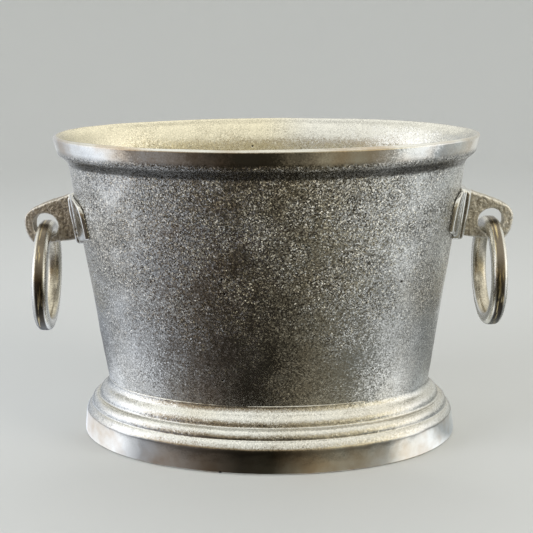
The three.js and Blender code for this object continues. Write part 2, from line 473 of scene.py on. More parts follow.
    def pits(self, tree: bpy.types.NodeTree, spot: bpy.types.NodeSocket) -> bpy.types.NodeSocket:
        """Scatter a few small blowholes, one to a cell of about pit_mm.

        Args:
            tree: Tree that takes the nodes.
            spot: Position on the piece.

        Returns:
            Value that is 1 in a pit.
        """
        cells = add(
            tree,
            "ShaderNodeTexVoronoi",
            {"Vector": spot, "Scale": per_mm(self.pit_mm), "Randomness": 1.0},
        ).outputs["Distance"]
        return add(
            tree,
            "ShaderNodeMapRange",
            {"Value": cells, "From Min": 0.022, "From Max": 0.04, "To Min": 1.0, "To Max": 0.0},
            interpolation_type="SMOOTHSTEP",
        ).outputs["Result"]

    def metal(
        self,
        tree: bpy.types.NodeTree,
        spot: bpy.types.NodeSocket,
        sweeps: bpy.types.NodeSocket,
        outside: bpy.types.NodeSocket,
        buffed: bpy.types.NodeSocket,
    ) -> bpy.types.NodeSocket:
        """Colour of the metal before its specks: tarnish, handling film with painted warm
        reflection, painted warm reflection inside, and bands of painted shade.

        Args:
            tree: Tree that takes the nodes.
            spot: Position on the piece.
            sweeps: Slow noise.
            outside: Value that is 1 outside the rim's crest.
            buffed: Value that is 1 where buffed.

        Returns:
            The colour.
        """
        axes = add(tree, "ShaderNodeSeparateXYZ", {0: spot})
        tarnish = add(
            tree,
            "ShaderNodeMapRange",
            {"Value": sweeps, "From Min": 0.45, "From Max": 0.7, "To Min": 0.0, "To Max": 0.6},
        ).outputs["Result"]
        swept = add(
            tree,
            "ShaderNodeMix",
            {0: tarnish, 6: linear(self.colour), 7: linear(self.stain)},
            data_type="RGBA",
        ).outputs[2]
        # Brown patches on the buffed edges: a film that fingers leave, thickest where the hands go,
        # and a painted warm reflection.
        touched = add(
            tree,
            "ShaderNodeTexNoise",
            {"Vector": spot, "Scale": per_mm(self.film_mm), "Detail": 3.0, "Roughness": 0.6},
        ).outputs["Fac"]
        film = add(
            tree,
            "ShaderNodeMapRange",
            {"Value": touched, "From Min": 0.45, "From Max": 0.68, "To Min": 0.0, "To Max": 0.5},
        ).outputs["Result"]
        film_and_reflection_mask = add(
            tree, "ShaderNodeMath", {0: film, 1: buffed}, operation="MULTIPLY"
        ).outputs[0]
        handled = add(
            tree,
            "ShaderNodeMix",
            {0: film_and_reflection_mask, 6: swept, 7: linear(self.film_and_warm_reflection)},
            data_type="RGBA",
        ).outputs[2]
        # A painted warm reflection on the inside, strong on the left and fading towards the right.
        reflection_share = add(
            tree,
            "ShaderNodeMapRange",
            {
                "Value": axes.outputs["X"],
                "From Min": self.reflection_fades_mm[0] * MM,
                "From Max": self.reflection_fades_mm[1] * MM,
                "To Min": 0.85,
                "To Max": 0.1,
            },
            interpolation_type="SMOOTHSTEP",
        ).outputs["Result"]
        inside_reflection = add(
            tree,
            "ShaderNodeMix",
            {0: reflection_share, 6: linear(self.colour), 7: linear(self.inside_reflection_tint)},
            data_type="RGBA",
        ).outputs[2]
        skin = add(
            tree, "ShaderNodeMix", {0: outside, 6: inside_reflection, 7: handled}, data_type="RGBA"
        ).outputs[2]
        # Lay the bands of painted shade.
        for band in self.painted_shade:
            skin = self.painted_shade_band(tree, skin, axes.outputs["Z"], outside, band)
        return skin

    def painted_shade_band(
        self,
        tree: bpy.types.NodeTree,
        skin: bpy.types.NodeSocket,
        height: bpy.types.NodeSocket,
        outside: bpy.types.NodeSocket,
        band: PaintedShadeBand,
        blur_mm: float = 1.2,
    ) -> bpy.types.NodeSocket:
        """Lay one band of painted shade, which darkens the metal's colour there.

        Args:
            tree: Tree that takes the nodes.
            skin: Colour under the painted shade.
            height: Height on the piece.
            outside: Value that is 1 outside the rim's crest.
            band: Where the painted shade lies and how dark it is.
            blur_mm: How far the band's edges fade each way.

        Returns:
            The colour with the painted shade on it.
        """
        half = (band.high_mm - band.low_mm) / 2
        apart = add(
            tree,
            "ShaderNodeMath",
            {0: height, 1: (band.low_mm + half) * MM},
            operation="SUBTRACT",
        ).outputs[0]
        distance = add(tree, "ShaderNodeMath", {0: apart}, operation="ABSOLUTE").outputs[0]
        shade_share = add(
            tree,
            "ShaderNodeMapRange",
            {
                "Value": distance,
                "From Min": (half - blur_mm) * MM,
                "From Max": (half + blur_mm) * MM,
                "To Min": band.share,
                "To Max": 0.0,
            },
            interpolation_type="SMOOTHSTEP",
        ).outputs["Result"]
        outside_shade = add(
            tree, "ShaderNodeMath", {0: shade_share, 1: outside}, operation="MULTIPLY"
        ).outputs[0]
        return add(
            tree,
            "ShaderNodeMix",
            {0: outside_shade, 6: skin, 7: linear(band.colour)},
            data_type="RGBA",
        ).outputs[2]


@dataclass(frozen=True)
class RoughCastBracket:
    """Bracket casting: the lug is as it came from the sand, browned; the boss and pad are filed.

    The lug shows fine lumps, painted shade in the hollows and bright edges, part wear and part
    painted highlight; the pad has soft vertical file marks and a cleaner colour.
    """

    name: str
    side: HandleSide
    lug_light: str
    # Colour of the painted shade in the lug's hollows.
    lug_shade: str
    pad: str = "dadad7"
    # Colour of the bright edges: part wear, part painted highlight.
    wear_and_highlight: str = "eeece6"
    lean: float = 0.15
    lump_mm: float = 2.2
    stroke_mm: float = 1.6

    def build(self) -> bpy.types.Material:
        """Build the material.

        Returns:
            The finished material.
        """
        material, tree = blank_material(self.name)
        spot = add(tree, "ShaderNodeTexCoord").outputs["Object"]
        axes = add(tree, "ShaderNodeSeparateXYZ", {0: spot})
        out = add(
            tree,
            "ShaderNodeMath",
            {0: axes.outputs["X"], 1: float(self.side.sign)},
            operation="MULTIPLY",
        ).outputs[0]
        # The boss leans with the wall, so its face moves out with height.
        edge = add(
            tree,
            "ShaderNodeMath",
            {0: axes.outputs["Z"], 1: -self.lean, 2: out},
            operation="MULTIPLY_ADD",
        ).outputs[0]
        step = self.side.step_mm
        lug = add(
            tree,
            "ShaderNodeMapRange",
            {"Value": edge, "From Min": (step + 0.1) * MM, "From Max": (step + 1.2) * MM},
            interpolation_type="SMOOTHSTEP",
        ).outputs["Result"]
        lumps = add(
            tree,
            "ShaderNodeTexNoise",
            {"Vector": spot, "Scale": per_mm(self.lump_mm), "Detail": 4.0, "Roughness": 0.65},
        ).outputs["Fac"]
        strokes_at = add(
            tree, "ShaderNodeMapping", {"Vector": spot, "Scale": (1.0, 1.0, 0.12)}
        ).outputs[0]
        strokes = add(
            tree,
            "ShaderNodeTexNoise",
            {"Vector": strokes_at, "Scale": per_mm(self.stroke_mm), "Detail": 3.0},
        ).outputs["Fac"]
        # Painted shade in the hollows between the lumps.
        painted_shade = add(
            tree, "ShaderNodeMapRange", {"Value": lumps, "From Min": 0.3, "From Max": 0.62}
        ).outputs["Result"]
        brown = add(
            tree,
            "ShaderNodeMix",
            {0: painted_shade, 6: linear(self.lug_shade), 7: linear(self.lug_light)},
            data_type="RGBA",
        ).outputs[2]
        colour = add(
            tree, "ShaderNodeMix", {0: lug, 6: linear(self.pad), 7: brown}, data_type="RGBA"
        ).outputs[2]
        streak = add(
            tree,
            "ShaderNodeMapRange",
            {"Value": strokes, "From Min": 0.35, "From Max": 0.6, "To Min": 0.72, "To Max": 1.0},
        ).outputs["Result"]
        streaked = add(
            tree,
            "ShaderNodeMix",
            {0: 1.0, 6: colour, 7: streak},
            data_type="RGBA",
            blend_type="MULTIPLY",
        ).outputs[2]
        # Corners that the ring and the cloth wear come up bright, part wear and part painted
        # highlight.
        pointiness = add(tree, "ShaderNodeNewGeometry").outputs["Pointiness"]
        wear_and_highlight_mask = add(
            tree, "ShaderNodeMapRange", {"Value": pointiness, "From Min": 0.505, "From Max": 0.56}
        ).outputs["Result"]
        wear_and_highlight = add(
            tree,
            "ShaderNodeMix",
            {0: wear_and_highlight_mask, 6: streaked, 7: linear(self.wear_and_highlight)},
            data_type="RGBA",
        ).outputs[2]
        rough_lug = add(
            tree, "ShaderNodeMapRange", {"Value": lumps, "To Min": 0.3, "To Max": 0.5}
        ).outputs["Result"]
        roughness = add(
            tree, "ShaderNodeMix", {0: lug, 2: 0.2, 3: rough_lug}, data_type="FLOAT"
        ).outputs[0]
        lug_bump = add(
            tree, "ShaderNodeBump", {"Strength": lug, "Distance": 0.75 * MM, "Height": lumps}
        ).outputs["Normal"]
        bump = add(
            tree,
            "ShaderNodeBump",
            {"Strength": 0.3, "Distance": 0.35 * MM, "Height": strokes, "Normal": lug_bump},
        ).outputs["Normal"]
        close_metal(tree, wear_and_highlight, roughness, bump)
        return material


@dataclass(frozen=True)
class TarnishedRing:
    """Cast ring, filed in flats round its bar and handled until it went warm.

    The side flats shine, the outer flat keeps a brown tarnish with thin gold streaks along the bar
    and is darker towards the bottom, and the inside is dull and pitted.
    """

    name: str
    centre: Vector
    axis: Vector
    mean_mm: float
    bar_mm: float
    bright: str = "e2e0d9"
    inner: str = "cdc6b6"
    tarnish: str = "756c60"
    darker_low: str = "37322b"
    gold: str = "d9c79a"
    streak_mm: float = 2.2
    nick_mm: float = 1.8

    def build(self) -> bpy.types.Material:
        """Build the material.

        Returns:
            The finished material.
        """
        material, tree = blank_material(self.name)
        spot = add(tree, "ShaderNodeTexCoord").outputs["Object"]
        from_centre = add(
            tree, "ShaderNodeVectorMath", {0: spot, 1: self.centre}, operation="SUBTRACT"
        ).outputs[0]
        in_plane = add(
            tree, "ShaderNodeVectorMath", {0: from_centre, 1: (0.0, 1.0, 1.0)}, operation="MULTIPLY"
        ).outputs[0]
        radius = add(
            tree, "ShaderNodeVectorMath", {0: in_plane}, operation="LENGTH"
        ).outputs["Value"]
        along_axis = add(
            tree, "ShaderNodeVectorMath", {0: from_centre, 1: self.axis}, operation="DOT_PRODUCT"
        ).outputs["Value"]
        off_middle = add(
            tree, "ShaderNodeMath", {0: along_axis}, operation="ABSOLUTE"
        ).outputs[0]
        on_flat = add(
            tree,
            "ShaderNodeMapRange",
            {
                "Value": off_middle,
                "From Min": 0.24 * self.bar_mm * MM,
                "From Max": 0.38 * self.bar_mm * MM,
                "To Min": 1.0,
                "To Max": 0.0,
            },
            interpolation_type="SMOOTHSTEP",
        ).outputs["Result"]
        outer = add(
            tree,
            "ShaderNodeMath",
            {0: self.zone(tree, radius, 0.2, 0.34), 1: on_flat},
            operation="MULTIPLY",
        ).outputs[0]
        inner = add(
            tree, "ShaderNodeMath", {0: 1.0, 1: self.zone(tree, radius, -0.42, -0.26)},
            operation="SUBTRACT",
        ).outputs[0]
        # Streaks run along the bar: the noise is read round the ring slowly, across it quickly.
        axes = add(tree, "ShaderNodeSeparateXYZ", {0: from_centre})
        slowly = add(
            tree, "ShaderNodeMath", {0: axes.outputs["Z"], 1: 0.1}, operation="MULTIPLY"
        ).outputs[0]
        across = add(
            tree,
            "ShaderNodeCombineXYZ",
            {"X": along_axis, "Y": radius, "Z": slowly},
        ).outputs[0]
        streaks = add(
            tree,
            "ShaderNodeTexNoise",
            {"Vector": across, "Scale": per_mm(self.streak_mm), "Detail": 3.0, "Roughness": 0.6},
        ).outputs["Fac"]
        nicks = add(
            tree,
            "ShaderNodeTexNoise",
            {"Vector": spot, "Scale": per_mm(self.nick_mm), "Detail": 3.0, "Roughness": 0.7},
        ).outputs["Fac"]
        # Darker towards the bottom of the ring.
        low = add(
            tree,
            "ShaderNodeMapRange",
            {
                "Value": axes.outputs["Z"],
                "From Min": -0.5 * self.mean_mm * MM,
                "From Max": 0.75 * self.mean_mm * MM,
            },
            interpolation_type="SMOOTHSTEP",
        ).outputs["Result"]
        brown = add(
            tree,
            "ShaderNodeMix",
            {0: low, 6: linear(self.darker_low), 7: linear(self.tarnish)},
            data_type="RGBA",
        ).outputs[2]
        shiny = add(
            tree,
            "ShaderNodeMapRange",
            {"Value": streaks, "From Min": 0.56, "From Max": 0.66, "To Min": 0.0, "To Max": 0.8},
        ).outputs["Result"]
        streaked = add(
            tree, "ShaderNodeMix", {0: shiny, 6: brown, 7: linear(self.gold)}, data_type="RGBA"
        ).outputs[2]
        specks = add(
            tree,
            "ShaderNodeMapRange",
            {"Value": nicks, "From Min": 0.42, "From Max": 0.6, "To Min": 1.0, "To Max": 0.72},
        ).outputs["Result"]
        dull = add(
            tree,
            "ShaderNodeMix",
            {0: 1.0, 6: linear(self.inner), 7: specks},
            data_type="RGBA",
            blend_type="MULTIPLY",
        ).outputs[2]
        skin = add(
            tree, "ShaderNodeMix", {0: outer, 6: linear(self.bright), 7: streaked}, data_type="RGBA"
        ).outputs[2]
        colour = add(
            tree, "ShaderNodeMix", {0: inner, 6: skin, 7: dull}, data_type="RGBA"
        ).outputs[2]
        roughness = add(
            tree, "ShaderNodeMapRange", {"Value": nicks, "To Min": 0.16, "To Max": 0.38}
        ).outputs["Result"]
        bump = add(
            tree,
            "ShaderNodeBump",
            {"Strength": 0.35, "Distance": 0.25 * MM, "Height": nicks},
        ).outputs["Normal"]
        close_metal(tree, colour, roughness, bump)
        return material

    def zone(
        self, tree: bpy.types.NodeTree, radius: bpy.types.NodeSocket, first: float, last: float
    ) -> bpy.types.NodeSocket:
        """Rise from 0 to 1 between two places across the bar.

        Args:
            tree: Tree that takes the node.
            radius: Distance from the ring's centre.
            first: Where the rise starts, in bar widths from the bar's middle.
            last: Where it ends.

        Returns:
            The risen value.
        """
        return add(
            tree,
            "ShaderNodeMapRange",
            {
                "Value": radius,
                "From Min": (self.mean_mm + first * self.bar_mm) * MM,
                "From Max": (self.mean_mm + last * self.bar_mm) * MM,
            },
            interpolation_type="SMOOTHSTEP",
        ).outputs["Result"]


@dataclass(frozen=True)
class PlatedSteel:
    """Zinc-plated screw steel: cool grey, with dull spots where the plating has gone matt."""

    name: str
    colour: str = "a9abab"
    dull: str = "6f7174"
    spot_mm: float = 2.5

    def build(self) -> bpy.types.Material:
        """Build the material.

        Returns:
            The finished material.
        """
        material, tree = blank_material(self.name)
        spot = add(tree, "ShaderNodeTexCoord").outputs["Object"]
        spots = add(
            tree,
            "ShaderNodeTexNoise",
            {"Vector": spot, "Scale": per_mm(self.spot_mm), "Detail": 4.0},
        ).outputs["Fac"]
        colour = add(
            tree,
            "ShaderNodeMix",
            {0: spots, 6: linear(self.colour), 7: linear(self.dull)},
            data_type="RGBA",
        ).outputs[2]
        roughness = add(
            tree, "ShaderNodeMapRange", {"Value": spots, "To Min": 0.22, "To Max": 0.48}
        ).outputs["Result"]
        bump = add(
            tree, "ShaderNodeBump", {"Strength": 0.2, "Distance": 0.1 * MM, "Height": spots}
        ).outputs["Normal"]
        close_metal(tree, colour, roughness, bump)
        return material


@dataclass(frozen=True)
class SealRubber:
    """Black moulded nitrile rubber of the sealing washers: matt, with a dusty bloom."""

    name: str
    black: str = "1c1c1c"
    dust: str = "3b3a38"
    bloom_mm: float = 3.0

    def build(self) -> bpy.types.Material:
        """Build the material.

        Returns:
            The finished material.
        """
        material, tree = blank_material(self.name)
        spot = add(tree, "ShaderNodeTexCoord").outputs["Object"]
        bloom = add(
            tree,
            "ShaderNodeTexNoise",
            {"Vector": spot, "Scale": per_mm(self.bloom_mm), "Detail": 5.0},
        ).outputs["Fac"]
        colour = add(
            tree,
            "ShaderNodeMix",
            {0: bloom, 6: linear(self.black), 7: linear(self.dust)},
            data_type="RGBA",
        ).outputs[2]
        roughness = add(
            tree, "ShaderNodeMapRange", {"Value": bloom, "To Min": 0.55, "To Max": 0.8}
        ).outputs["Result"]
        shader = add(
            tree,
            "ShaderNodeBsdfPrincipled",
            {"Base Color": colour, "Roughness": roughness},
        )
        add(tree, "ShaderNodeOutputMaterial", {"Surface": shader.outputs[0]})
        return material


@dataclass(frozen=True)
class PlainPaint:
    """Matt studio paint in one even colour, which keeps the floor and backdrop plain."""

    name: str
    colour: str
    roughness: float = 0.85

    def build(self) -> bpy.types.Material:
        """Build the material.

        Returns:
            The finished material.
        """
        material, tree = blank_material(self.name)
        shader = add(
            tree,
            "ShaderNodeBsdfPrincipled",
            {"Base Color": linear(self.colour), "Roughness": self.roughness},
        )
        add(tree, "ShaderNodeOutputMaterial", {"Surface": shader.outputs[0]})
        return material


# ---- mesh tools ----------------------------------------------------------------------------------


def rounded(points: Sequence[Point2], closed: bool, rounds: int, longest: float) -> list[Point2]:
    """Round the corners of a profile by corner cutting, then split its long spans.

    Args:
        points: The profile's points.
        closed: Whether the last point joins the first.
        rounds: How many times the corners are cut.
        longest: Longest span left, in the profile's unit.

    Returns:
        The smoothed profile.
    """
    line = list(points)
    for _ in range(rounds):
        cut: list[Point2] = [] if closed else [line[0]]
        pairs = list(zip(line, line[1:] + line[:1] if closed else line[1:]))
        for (x0, z0), (x1, z1) in pairs:
            cut.append((0.75 * x0 + 0.25 * x1, 0.75 * z0 + 0.25 * z1))
            cut.append((0.25 * x0 + 0.75 * x1, 0.25 * z0 + 0.75 * z1))
        if not closed:
            cut.append(line[-1])
        line = cut
    split: list[Point2] = []
    pairs = list(zip(line, line[1:] + line[:1] if closed else line[1:]))
    for (x0, z0), (x1, z1) in pairs:
        steps = max(1, math.ceil(math.hypot(x1 - x0, z1 - z0) / longest))
        split += [(x0 + (x1 - x0) * k / steps, z0 + (z1 - z0) * k / steps) for k in range(steps)]
    if not closed:
        split.append(line[-1])
    return split


def link_mesh(name: str, verts: Iterable, faces: Iterable, smooth: bool = True) -> bpy.types.Object:
    """Make an object from vertices in metres and faces.

    Args:
        name: Name of the object and its mesh.
        verts: Vertex positions.
        faces: Vertex indices of each face.
        smooth: Whether the faces are shaded smooth.

    Returns:
        The new object, linked to the scene.
    """
    mesh = bpy.data.meshes.new(name)
    mesh.from_pydata([tuple(v) for v in verts], [], [tuple(f) for f in faces])
    mesh.validate()
    if smooth:
        mesh.polygons.foreach_set("use_smooth", [True] * len(mesh.polygons))
    obj = bpy.data.objects.new(name, mesh)
    bpy.context.scene.collection.objects.link(obj)
    return obj


def wrapped_faces(rows: int, count: int, closed: bool) -> list[tuple[int, ...]]:
    """Faces between rows of points that each run round in a loop.

    Args:
        rows: Number of rows.
        count: Points in a row.
        closed: Whether the last row joins the first.

    Returns:
        Four vertex indices of each face.
    """
    faces: list[tuple[int, ...]] = []
    for row in range(rows if closed else rows - 1):
        here, after = row * count, ((row + 1) % rows) * count
        for i in range(count):
            j = (i + 1) % count
            faces.append((here + i, here + j, after + j, after + i))
    return faces


def face_outwards(obj: bpy.types.Object) -> None:
    """Turn every face of a closed mesh to point outwards."""
    work = bmesh.new()
    work.from_mesh(obj.data)
    bmesh.ops.recalc_face_normals(work, faces=work.faces)
    work.to_mesh(obj.data)
    work.free()


def set_by_noise(obj: bpy.types.Object, waves: Sequence[Wave], seed: float) -> None:
    """Move vertices along their normals by smooth noise, as an uneven casting.

    Args:
        obj: Object whose mesh changes.
        waves: Pairs of wavelength and height, both in millimetres.
        seed: Shift of the noise, so that pieces differ.
    """
    mesh = obj.data
    moved = []
    for vertex in mesh.vertices:
        shift = 0.0
        for length, height in waves:
            shift += height * MM * noise.noise(vertex.co / (length * MM) + Vector((seed, 0, 0)))
        moved += list(vertex.co + vertex.normal * shift)
    mesh.vertices.foreach_set("co", moved)
    mesh.update()


def oval_solid(
    name: str, profile: Sequence[Point2], segments: int, closed: bool
) -> bpy.types.Object:
    """Loft a closed solid through oval sections.

    Args:
        name: Name of the object.
        profile: Pairs (a, z) in millimetres. An open profile starts and ends with a flat centre.
        segments: Number of points round the oval.
        closed: Whether the profile is a closed loop.

    Returns:
        The solid.
    """
    verts: list[tuple[float, float, float]] = []
    for a, z in profile:
        for i in range(segments):
            t = 2 * math.pi * i / segments
            verts.append((a * MM * math.cos(t), (a - CORE) * MM * math.sin(t), z * MM))
    rows = len(profile)
    faces = wrapped_faces(rows, segments, closed)
    if not closed:
        last = (rows - 1) * segments
        inner_rings = (0.66, 0.33)
        for row_start, centre_z, flip in ((0, profile[0][1], True), (last, profile[-1][1], False)):
            # Two inner rings shrink to the centre, so that the flat floor isn't one huge fan.
            a_edge = profile[0][0] if flip else profile[-1][0]
            start = row_start
            for share in inner_rings:
                ring_start = len(verts)
                for i in range(segments):
                    t = 2 * math.pi * i / segments
                    verts.append(
                        (
                            a_edge * share * MM * math.cos(t),
                            (a_edge - CORE) * share * MM * math.sin(t),
                            centre_z * MM,
                        )
                    )
                for i in range(segments):
                    j = (i + 1) % segments
                    quad = (start + i, start + j, ring_start + j, ring_start + i)
                    faces.append(quad[::-1] if flip else quad)
                start = ring_start
            hub = len(verts)
            verts.append((0.0, 0.0, centre_z * MM))
            for i in range(segments):
                j = (i + 1) % segments
                fan = (start + i, start + j, hub)
                faces.append(fan[::-1] if flip else fan)
    obj = link_mesh(name, verts, faces)
    face_outwards(obj)
    return obj


def prism(
    name: str, outline: Sequence[Point2], half: float, bevel: float
) -> bpy.types.Object:
    """Make a plate with an XZ outline, from y = -half to +half, with rounded edges.

    Args:
        name: Name of the object.
        outline: Points (x, z) in millimetres.
        half: Half the plate's thickness in millimetres.
        bevel: Radius of the rounded edges in millimetres.

    Returns:
        The plate.
    """
    count = len(outline)
    verts = [(x * MM, y * MM, z * MM) for y in (-half, half) for x, z in outline]
    faces: list[tuple[int, ...]] = [tuple(range(count)), tuple(range(2 * count - 1, count - 1, -1))]
    faces += [(i, (i + 1) % count, count + (i + 1) % count, count + i) for i in range(count)]
    obj = link_mesh(name, verts, faces, smooth=False)
    face_outwards(obj)
    if bevel > 0:
        edge = obj.modifiers.new("rounded_edges", "BEVEL")
        edge.width = bevel * MM
        edge.segments = 3
        edge.limit_method = "ANGLE"
        edge.angle_limit = math.radians(40)
        bake(obj)
    return obj


def bar_between(
    name: str, start: Vector, end: Vector, radius: float, segments: int = 48
) -> bpy.types.Object:
    """Make a plain round bar, used to cut holes.

    Args:
        name: Name of the object.
        start: One end, in metres.
        end: Other end, in metres.
        radius: Radius in metres.
        segments: Sides of the bar.

    Returns:
        The bar.
    """
    along = end - start
    turn = along.to_track_quat("Z", "Y").to_matrix().to_4x4()
    work = bmesh.new()
    bmesh.ops.create_cone(
        work,
        cap_ends=True,
        segments=segments,
        radius1=radius,
        radius2=radius,
        depth=along.length,
        matrix=Matrix.Translation((start + end) / 2) @ turn,
    )
    mesh = bpy.data.meshes.new(name)
    work.to_mesh(mesh)
    work.free()
    obj = bpy.data.objects.new(name, mesh)
    bpy.context.scene.collection.objects.link(obj)
    return obj


def bake(obj: bpy.types.Object) -> None:
    """Apply every modifier of an object to its mesh."""
    bpy.context.view_layer.update()
    graph = bpy.context.evaluated_depsgraph_get()
    mesh = bpy.data.meshes.new_from_object(obj.evaluated_get(graph))
    old = obj.data
    obj.modifiers.clear()
    obj.data = mesh
    if old.users == 0:
        bpy.data.meshes.remove(old)


class Join(Enum):
    """How one solid is worked into another."""

    CUT = "DIFFERENCE"
    KEEP_INSIDE = "INTERSECT"


def work_in(target: bpy.types.Object, tool: bpy.types.Object, how: Join) -> None:
    """Work a tool solid into a target and throw the tool away.

    Args:
        target: Solid that changes.
        tool: Solid that is cut out or kept inside of.
        how: Which of those.
    """
    boolean = target.modifiers.new("work", "BOOLEAN")
    boolean.operation = how.value
    boolean.solver = "EXACT"
    boolean.object = tool
    bake(target)
    bpy.data.objects.remove(tool)


def put_together(target: bpy.types.Object, others: Sequence[bpy.types.Object]) -> None:
    """Take other solids' faces into a target and throw the others away.

    Args:
        target: Solid that grows; a voxel remesh afterwards makes one skin of them all.
        others: Solids that overlap it.
    """
    work = bmesh.new()
    for solid in (target, *others):
        work.from_mesh(solid.data)
    work.to_mesh(target.data)
    work.free()
    for solid in others:
        bpy.data.objects.remove(solid)


def shade_smooth(obj: bpy.types.Object, crease_degrees: float | None = None) -> None:
    """Shade an object smooth, keeping creases sharper than an angle.

    Args:
        obj: The object.
        crease_degrees: Edges bent more than this stay sharp; None smooths all.
    """
    mesh = obj.data
    mesh.polygons.foreach_set("use_smooth", [True] * len(mesh.polygons))
    if crease_degrees is not None:
        mesh.set_sharp_from_angle(angle=math.radians(crease_degrees))
    mesh.update()


def dress(
    obj: bpy.types.Object,
    material: bpy.types.Material,
    body: str,
    nodes: Sequence[str],
) -> None:
    """Give a piece its finish and tie it to the frame.

    Args:
        obj: The piece.
        material: Its finish.
        body: CAD body it moves with.
        nodes: CAD nodes that it stands for.
    """
    obj.data.materials.clear()
    obj.data.materials.append(material)
    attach(obj, body)
    if nodes:
        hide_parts(*nodes)
    LOG.info("%s: %d vertices, rides on %s", obj.name, len(obj.data.vertices), body)


# ---- the bucket ----------------------------------------------------------------------------------


@dataclass
class BucketCasting:
    """Oval tapered wall with its flared rim and thick floor, one casting. Sizes in millimetres."""

    wall_top_z: float = 240.0
    wall_top_a: float = 165.2
    draft: float = 0.1201
    thickness: float = 4.3
    segments: int = 360
    rim: list[Point2] = field(
        default_factory=lambda: [
            (165.5, 241.4), (166.2, 243.2), (167.8, 245.4), (170.3, 247.6), (172.5, 249.2),
            (173.6, 250.8), (174.1, 253.0), (175.4, 258.5), (176.1, 262.0), (176.3, 263.7),
            (175.5, 265.0), (174.0, 265.5), (172.3, 265.0), (169.6, 263.0), (167.2, 260.0),
            (164.9, 255.0),
        ]
    )

    def wall_a(self, z: float) -> float:
        """Outer semi-axis of the plain wall at a height."""
        return self.wall_top_a + (z - self.wall_top_z) * self.draft

    def profile(self) -> list[Point2]:
        """Half section, from under the floor, up the outside and down the inside."""
        inner = self.thickness
        return [
            (120.0, 26.0),
            (128.0, 26.0),
            (136.6, 26.9),
            (139.4, 28.8),
            (self.wall_a(33), 33.0),
            (self.wall_a(60), 60.0),
            (self.wall_a(140), 140.0),
            (self.wall_a(230), 230.0),
            (self.wall_a(239), 239.0),
            *self.rim,
            (self.wall_a(247) - inner, 247.0),
            (self.wall_a(236) - inner, 236.0),
            (self.wall_a(140) - inner, 140.0),
            (self.wall_a(52) - inner, 52.0),
            (135.4, 43.5),
            (132.4, 37.6),
            (126.0, 34.8),
            (116.0, 34.0),
        ]

    def build(self) -> bpy.types.Object:
        """Build the casting.

        Returns:
            The bucket's mesh object.
        """
        line = rounded(self.profile(), closed=False, rounds=2, longest=2.8)
        body = oval_solid("bucket_casting", line, self.segments, closed=False)
        set_by_noise(body, [(64.0, 0.55), (23.0, 0.26), (9.0, 0.12)], seed=3.1)
        return body


@dataclass
class FootCasting:
    """Moulded oval foot: lip, bead, groove, torus, step and plinth, hollow under. Millimetres."""

    bucket: BucketCasting
    closes_in: float = 1.2
    segments: int = 360

    def profile(self) -> list[Point2]:
        """Closed section of the foot, starting under the seat flange."""
        wall = self.bucket.wall_a
        return [
            (117.5, 20.5), (130.0, 20.5), (140.0, 20.5), (147.0, 18.6), (152.5, 13.5),
            (155.5, 7.0), (156.3, 1.0), (156.6, 0.0), (160.5, 0.0), (164.6, 0.0),
            (165.5, 0.4), (166.0, 1.6), (166.1, 4.0), (165.6, 8.0), (165.0, 12.0),
            (163.9, 20.0), (163.4, 21.6), (162.4, 23.2), (161.1, 25.1), (159.8, 26.3),
            (158.8, 26.9), (158.7, 28.4), (157.9, 30.5), (156.6, 32.5), (154.9, 33.9),
            (153.4, 34.3), (152.0, 34.0), (151.2, 34.8), (150.7, 37.2), (149.2, 40.2),
            (146.6, 42.7), (144.5, 44.2), (143.3, 46.4), (wall(48) + 0.4, 48.4),
            (wall(50), 50.2), (wall(49) - self.closes_in, 49.2), (wall(31) - 0.6, 31.0),
            (136.7, 26.6), (128.0, 25.7), (117.5, 25.7),
        ]

    def build(self) -> bpy.types.Object:
        """Build the foot.

        Returns:
            The foot's mesh object.
        """
        line = rounded(self.profile(), closed=True, rounds=1, longest=1.8)
        foot = oval_solid("foot_casting", line, self.segments, closed=True)
        set_by_noise(foot, [(50.0, 0.4), (14.0, 0.18), (6.0, 0.1)], seed=8.4)
        return foot


